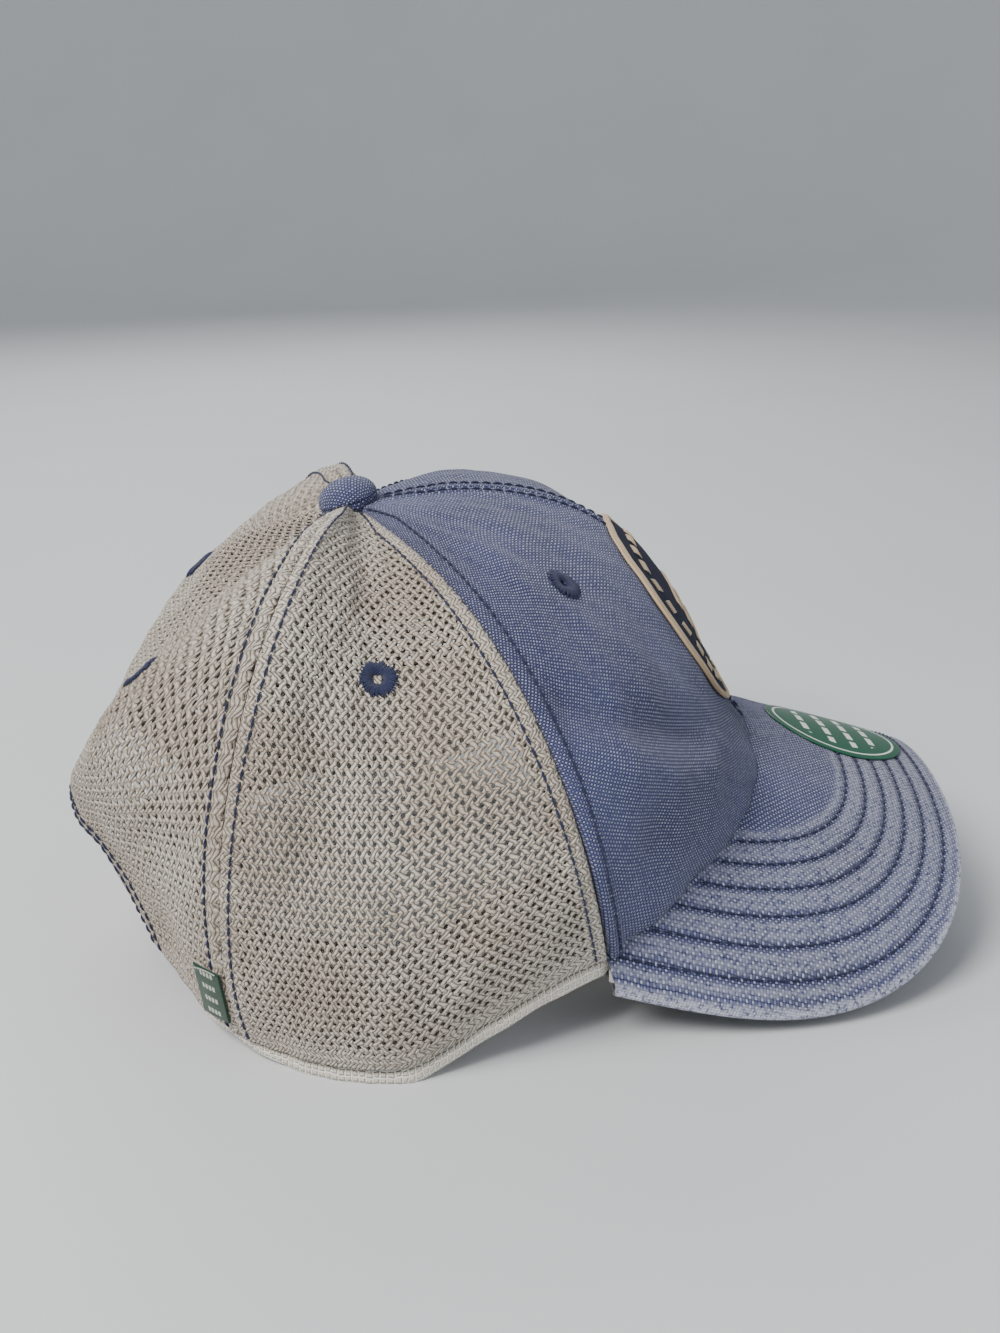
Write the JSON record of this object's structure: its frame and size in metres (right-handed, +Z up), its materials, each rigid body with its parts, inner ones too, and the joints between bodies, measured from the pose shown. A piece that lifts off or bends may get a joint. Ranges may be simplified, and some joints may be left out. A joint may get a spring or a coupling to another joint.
{
  "type": "baseball cap",
  "caption": "Relaxed net-back baseball cap with a canvas front, round patch, curved visor, covered button, sweatband and a snap strap across the back opening.",
  "frame": {"origin": "middle of the bounding box on the surface the cap lies on", "axes": "+X towards the tip of the visor, +Y towards the wearer's left, +Z up"},
  "size_m": [0.232, 0.1876, 0.1197],
  "materials": {
    "canvas_blue": "washed, slubby plain weave",
    "net": "knitted net",
    "navy_thread": "stitched thread",
    "tape_cloth": "woven tape",
    "sweatband_cloth": "honeycomb knit",
    "charcoal_twill": "brushed twill",
    "board_plastic": "matt",
    "strap_plastic": "satin",
    "plated_steel": "plated",
    "patch_twill": "fine twill",
    "patch_thread": "overlocked thread",
    "green_ribbon": "woven ribbon",
    "white_ribbon": "woven ribbon",
    "sticker_film": "satin film"
  },
  "bodies": {
    "crown": {"front_panel_right": "canvas_blue", "side_panel_right": "net", "back_panel_right": "net", "eyelet_front_right": "navy_thread", "eyelet_side_right": "navy_thread", "eyelet_back_right": "navy_thread", "seam_tape_front_side_right": "tape_cloth", "seam_tape_back_side_right": "tape_cloth", "front_panel_left": "canvas_blue", "side_panel_left": "net", "back_panel_left": "net", "eyelet_front_left": "navy_thread", "eyelet_side_left": "navy_thread", "eyelet_back_left": "navy_thread", "seam_tape_front_side_left": "tape_cloth", "seam_tape_back_side_left": "tape_cloth", "seam_tape_front": "tape_cloth", "seam_tape_back": "tape_cloth", "opening_facing": "net", "sweatband": "sweatband_cloth", "visor_top_cloth": "canvas_blue", "visor_board": "board_plastic", "visor_under_cloth": "charcoal_twill", "hole_strap_tab": "strap_plastic", "stud_strap_tab": "strap_plastic", "button_cover": "canvas_blue", "button_disc": "plated_steel", "button_washer": "plated_steel", "patch_base": "patch_twill", "patch_border": "patch_thread", "visor_sticker": "sticker_film", "care_label": "white_ribbon"},
    "hole_strap": {"hole_strap": "strap_plastic"},
    "stud_strap": {"stud_strap": "strap_plastic"},
    "side_label": {"side_label": "green_ribbon"}
  },
  "joints": [
    {"name": "hole_strap_swing", "type": "hinge", "parent": "crown", "child": "hole_strap", "pos_m": [-0.09575, -0.03503, 0.01806], "axis": [-0.3318, 0, 0.9434], "range_deg": [0, 60], "stiffness_Nm_per_rad": 0.01},
    {"name": "stud_strap_swing", "type": "hinge", "parent": "crown", "child": "stud_strap", "pos_m": [-0.09436, 0.0342, 0.01855], "axis": [-0.3318, 0, 0.9434], "range_deg": [0, 20], "stiffness_Nm_per_rad": 0.01},
    {"name": "side_label_flap", "type": "hinge", "parent": "crown", "child": "side_label", "pos_m": [-0.07101, -0.07965, 0.01571], "axis": [-0.1135, -0.11, 0.9874], "range_deg": [0, 60], "stiffness_Nm_per_rad": 0.0002}
  ]
}
